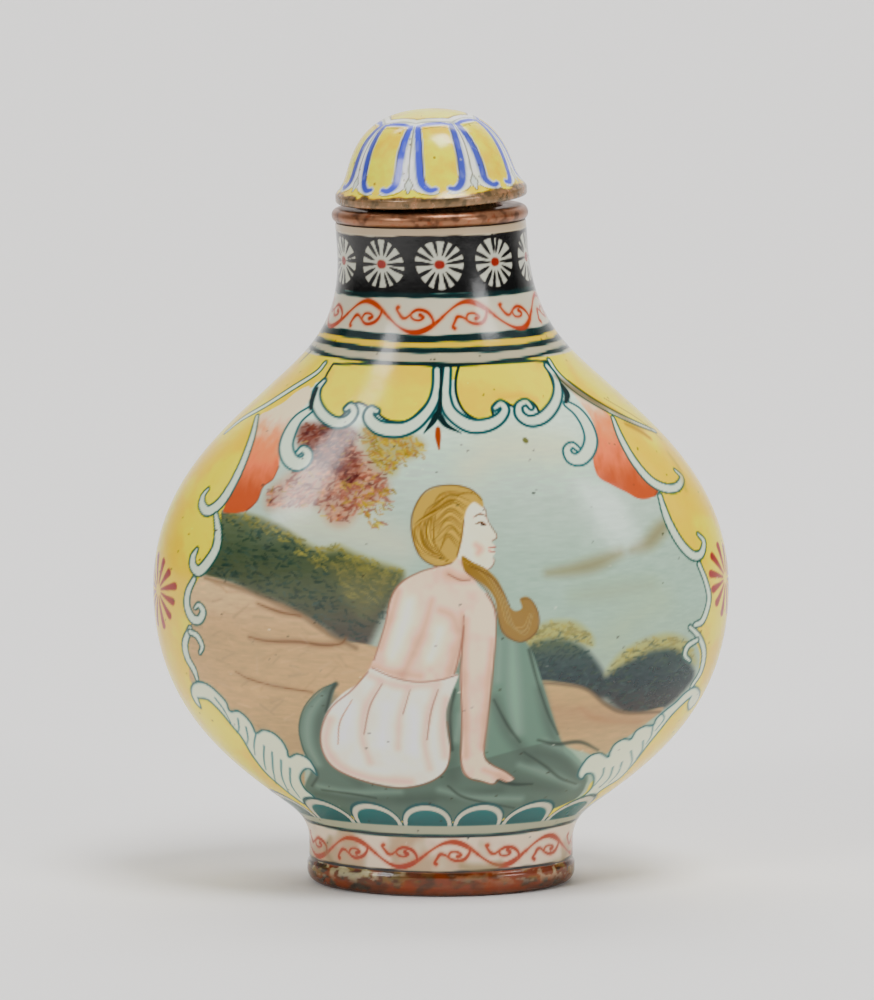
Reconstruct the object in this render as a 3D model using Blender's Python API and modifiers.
"""Snuff bottle: a flattened round flask of enamelled copper with a domed stopper in its mouth.

The flask is turned as a round form and then squeezed front to back, so that its neck stays round
while its belly and foot become ovals, and its neck is bent a little to the left, as hand work is.
The cavity is the same form taken in by the wall.
+X is the bottle's right as seen from the front, -Y is its front, and it stands on z = 0.
"""

import math

import bpy
from mathutils import Vector
from mathutils.geometry import interpolate_bezier

MM = 0.001

# Flask, outside
FOOT_HALF_WIDTH = 10.25 * MM
FOOT_HALF_DEPTH = 7.5 * MM
FOOT_HEIGHT = 3.3 * MM
FOOT_ROLL_HEIGHT = 2.1 * MM
FOOT_ROLL_PROUD = 0.14 * MM
FOOT_EDGE_RADIUS = 0.9 * MM
BELLY_HALF_WIDTH = 22.25 * MM
BELLY_HALF_DEPTH = 12.2 * MM
BELLY_RISE = 19.6 * MM
NECK_RADIUS = 7.33 * MM
NECK_RISE = 26.7 * MM
NECK_TOP_RISE = 1.8 * MM
LIP_PROUD = 0.22 * MM
LIP_HEIGHT = 1.15 * MM

# The bend of the neck, which starts on the shoulder and is complete at the lip
BEND_START_RISE = 12.0 * MM
MOUTH_SHIFT = 0.9 * MM
MOUTH_TILT = math.radians(1.3)
BEND_POWER = 1.6

# Walls, mouth and recess under the foot
WALL = 1.7 * MM
MOUTH_CHAMFER = 0.3 * MM
FOOT_RING_WIDTH = 2.0 * MM
FOOT_RECESS = 1.2 * MM
FLOOR_CORNER = 0.6 * MM

# Stopper
BRIM_RADIUS = 7.36 * MM
BRIM_EDGE_HEIGHT = 0.65 * MM
CAP_HEIGHT = 6.9 * MM
PLUG_CLEARANCE = 0.7 * MM
PLUG_SHIFT = 0.25
PLUG_LENGTH = 4.0 * MM
PLUG_CHAMFER = 0.4 * MM
SEAT_GAP = 0.3 * MM
STOPPER_TILT = math.radians(1.5)
STOPPER_PITCH = math.radians(1.5)

# Heights up the flask
BELLY_Z = FOOT_HEIGHT + BELLY_RISE
NECK_Z = BELLY_Z + NECK_RISE
LIP_BOTTOM_Z = NECK_Z + NECK_TOP_RISE
LIP_TOP_Z = LIP_BOTTOM_Z + LIP_HEIGHT
BEND_Z = BELLY_Z + BEND_START_RISE

# How far along each stretch of the outline the curve turns, and how steeply it leans there
HIP_OUT = 0.26
HIP_UP = 0.2
HIP_LEAN = math.radians(53)
SHOULDER_IN = 0.641
SHOULDER_UP = 0.606
SHOULDER_LEAN = math.radians(-47.7)

SEGMENTS = 56
CAVITY_SEGMENTS = 40
STOPPER_SEGMENTS = 40
MERGE = 0.01 * MM


def clear_scene():
    for obj in list(bpy.data.objects):
        bpy.data.objects.remove(obj)


def new_collection(name):
    collection = bpy.data.collections.new(name)
    bpy.context.scene.collection.children.link(collection)
    return collection


def enamel(name, colour):
    """Glossy fired enamel."""
    material = bpy.data.materials.new(name)
    material.use_nodes = True
    shader = material.node_tree.nodes["Principled BSDF"]
    shader.inputs["Base Color"].default_value = (*colour, 1)
    shader.inputs["Roughness"].default_value = 0.2
    shader.inputs["Metallic"].default_value = 0.0
    return material


def leaning(angle):
    """Unit direction in the (radius, height) plane that leans outwards by this angle from straight up."""
    return Vector((math.sin(angle), math.cos(angle)))


def stretch(start, start_lean, start_pull, end, end_lean, end_pull, count):
    """Points of a Bezier stretch, its handles as shares of the straight line between its ends."""
    length = (end - start).length
    first = start + leaning(start_lean) * start_pull * length
    second = end - leaning(end_lean) * end_pull * length
    return interpolate_bezier(start, first, second, end, count)


def arc(centre, radius, start, end, count):
    """Points of a round stretch, its angles measured from the outward direction, upwards."""
    turns = [start + (end - start) * i / (count - 1) for i in range(count)]
    return [centre + radius * Vector((math.cos(a), math.sin(a))) for a in turns]


def wall_outline():
    """The flask's outside from its foot's waist up to its neck's waist."""
    foot = Vector((FOOT_HALF_WIDTH, FOOT_HEIGHT))
    belly = Vector((BELLY_HALF_WIDTH, BELLY_Z))
    neck = Vector((NECK_RADIUS, NECK_Z))
    hip = Vector((
        foot.x + HIP_OUT * (belly.x - foot.x),
        foot.y + HIP_UP * (belly.y - foot.y),
    ))
    shoulder = Vector((
        belly.x + SHOULDER_IN * (neck.x - belly.x),
        belly.y + SHOULDER_UP * (neck.y - belly.y),
    ))
    return (
        stretch(foot, 0, 0.395, hip, HIP_LEAN, 0.375, 6)[:-1]
        + stretch(hip, HIP_LEAN, 0.286, belly, 0, 0.468, 9)[:-1]
        + stretch(belly, 0, 0.426, shoulder, SHOULDER_LEAN, 0.31, 9)[:-1]
        + stretch(shoulder, SHOULDER_LEAN, 0.304, neck, 0, 0.507, 8)
    )


def outside_profile():
    """The whole outside, from the middle of the mouth's top down to the middle of the recessed base."""
    lip_radius = LIP_HEIGHT / 2
    lip_centre = Vector((NECK_RADIUS + LIP_PROUD - lip_radius, LIP_BOTTOM_Z + lip_radius))
    lip = arc(lip_centre, lip_radius, math.pi / 2, -0.3 * math.pi, 6)
    under_lip = Vector((NECK_RADIUS, LIP_BOTTOM_Z))
    roll_radius = FOOT_HALF_WIDTH + FOOT_ROLL_PROUD
    edge_centre = Vector((roll_radius - FOOT_EDGE_RADIUS, FOOT_EDGE_RADIUS))
    foot_edge = arc(edge_centre, FOOT_EDGE_RADIUS, 0, -math.pi / 2, 5)
    ring_inside = FOOT_HALF_WIDTH - FOOT_RING_WIDTH
    return [
        Vector((0, LIP_TOP_Z)),
        *lip,
        under_lip,
        *reversed(wall_outline()),
        Vector((FOOT_HALF_WIDTH, FOOT_ROLL_HEIGHT + FOOT_ROLL_PROUD)),
        Vector((roll_radius, FOOT_ROLL_HEIGHT - FOOT_ROLL_PROUD)),
        *foot_edge,
        Vector((ring_inside, 0)),
        Vector((ring_inside, FOOT_RECESS)),
        Vector((0, FOOT_RECESS)),
    ]


def taken_in(points, distance):
    """The outline moved inwards, each point along its own normal."""
    moved = []
    for i, point in enumerate(points):
        along = points[min(i + 1, len(points) - 1)] - points[max(i - 1, 0)]
        along.normalize()
        moved.append(point + distance * Vector((-along.y, along.x)))
    moved[0].y = points[0].y
    moved[-1].y = points[-1].y
    return moved


def cavity_profile():
    """The cavity, from above the mouth down to the middle of its floor."""
    floor = FOOT_RECESS + WALL
    inside = [p for p in taken_in(wall_outline()[::2], WALL) if p.y > floor + FLOOR_CORNER]
    bore = NECK_RADIUS - WALL
    above = LIP_TOP_Z + MOUTH_CHAMFER
    foot = inside[0].x
    return [
        Vector((0, above)),
        Vector((bore + 2 * MOUTH_CHAMFER, above)),
        Vector((bore, LIP_TOP_Z - MOUTH_CHAMFER)),
        Vector((bore, NECK_Z)),
        *reversed(inside[:-1]),
        Vector((foot, floor + FLOOR_CORNER)),
        Vector((foot - FLOOR_CORNER, floor)),
        Vector((0, floor)),
    ]


def stopper_profile():
    """The stopper, from the top of its cap down to the middle of its plug's end. Its height 0 is the brim's underside."""
    brim = Vector((BRIM_RADIUS, BRIM_EDGE_HEIGHT))
    top = Vector((0, CAP_HEIGHT))
    waist = Vector((0.876 * BRIM_RADIUS, 0.32 * CAP_HEIGHT))
    lean = math.radians(-18)
    dome = stretch(waist, lean, 0.24, top, math.radians(-90), 0.62, 12)
    flare = stretch(brim, math.radians(-40), 0.4, waist, lean, 0.35, 5)
    plug = NECK_RADIUS - WALL - PLUG_CLEARANCE
    return [
        *reversed(dome[1:]),
        *reversed(flare),
        Vector((BRIM_RADIUS, 0.1 * BRIM_EDGE_HEIGHT)),
        Vector((BRIM_RADIUS - 0.1 * BRIM_EDGE_HEIGHT, 0)),
        Vector((plug, 0)),
        Vector((plug, PLUG_CHAMFER - PLUG_LENGTH)),
        Vector((plug - PLUG_CHAMFER, -PLUG_LENGTH)),
        Vector((0, -PLUG_LENGTH)),
    ]


def turned(name, profile, segments, collection):
    """A solid turned about Z from a profile given as (radius, height), top to bottom."""
    mesh = bpy.data.meshes.new(name)
    points = [(p.x, 0, p.y) for p in profile]
    edges = [(i, i + 1) for i in range(len(points) - 1)]
    mesh.from_pydata(points, edges, [])
    obj = bpy.data.objects.new(name, mesh)
    collection.objects.link(obj)
    screw = obj.modifiers.new("Turn", "SCREW")
    screw.axis = "Z"
    screw.angle = 2 * math.pi
    screw.steps = segments
    screw.render_steps = segments
    screw.use_merge_vertices = True
    screw.merge_threshold = MERGE
    return obj


def half_depth(half_width, height, inset):
    """Front-to-back half size of the ring with this half width. The inset is 0 outside and the wall in the cavity.

    A ring is round from the neck's waist up, and below the foot's waist it keeps the foot's proportion.
    Between them its depth follows its width in a straight line, up to the belly's.
    """
    if height >= NECK_Z - MERGE:
        return half_width
    if height <= FOOT_HEIGHT + MERGE:
        return half_width * (FOOT_HALF_DEPTH - inset) / (FOOT_HALF_WIDTH - inset)
    if height >= BELLY_Z:
        width, depth = NECK_RADIUS, NECK_RADIUS
    else:
        width, depth = FOOT_HALF_WIDTH, FOOT_HALF_DEPTH
    share = (half_width + inset - width) / (BELLY_HALF_WIDTH - width)
    return depth + share * (BELLY_HALF_DEPTH - depth) - inset


def bent(point):
    """The point moved left and tipped with the neck, by a share that grows from the shoulder to the lip."""
    share = max(0, (point.z - BEND_Z) / (LIP_TOP_Z - BEND_Z)) ** BEND_POWER
    return Vector((
        point.x - share * MOUTH_SHIFT,
        point.y,
        point.z + share * math.tan(MOUTH_TILT) * point.x,
    ))


def shape(obj, inset):
    """Makes the turned object a mesh, squeezes each of its rings front to back and bends its neck."""
    graph = bpy.context.evaluated_depsgraph_get()
    mesh = bpy.data.meshes.new_from_object(obj.evaluated_get(graph))
    obj.modifiers.clear()
    obj.data = mesh
    for vertex in mesh.vertices:
        radius = math.hypot(vertex.co.x, vertex.co.y)
        if radius > MERGE:
            vertex.co.y *= half_depth(radius, vertex.co.z, inset) / radius
        vertex.co = bent(vertex.co)
    return obj


def smooth(obj):
    obj.data.shade_smooth()
    obj.data.set_sharp_from_angle(angle=math.radians(35))


def make_flask(collection, cutters):
    flask = shape(turned("flask", outside_profile(), SEGMENTS, collection), 0)
    cavity = shape(turned("cavity", cavity_profile(), CAVITY_SEGMENTS, cutters), WALL)
    cavity.hide_render = True
    cavity.display_type = "WIRE"
    hollow = flask.modifiers.new("Hollow", "BOOLEAN")
    hollow.operation = "DIFFERENCE"
    hollow.object = cavity
    flask.data.materials.append(enamel("painted enamel", (0.78, 0.66, 0.38)))
    smooth(flask)
    return flask


def make_stopper(collection):
    """The stopper sits a little askew in the mouth: its left edge is low and its right edge is raised."""
    mouth = bpy.data.objects.new("mouth", None)
    collection.objects.link(mouth)
    mouth.location = (-MOUTH_SHIFT, 0, LIP_TOP_Z)
    mouth.rotation_euler.y = -MOUTH_TILT
    stopper = turned("stopper", stopper_profile(), STOPPER_SEGMENTS, collection)
    stopper.parent = mouth
    stopper.location.x = PLUG_SHIFT * PLUG_CLEARANCE
    stopper.location.z = SEAT_GAP + BRIM_RADIUS * math.sin(math.hypot(STOPPER_TILT, STOPPER_PITCH))
    stopper.rotation_euler = (STOPPER_PITCH, -STOPPER_TILT, 0)
    stopper.data.materials.append(enamel("yellow enamel", (0.80, 0.50, 0.07)))
    smooth(stopper)
    return stopper


def main():
    clear_scene()
    bottle = new_collection("snuff_bottle")
    cutters = new_collection("cutters")
    make_flask(bottle, cutters)
    make_stopper(bottle)


main()
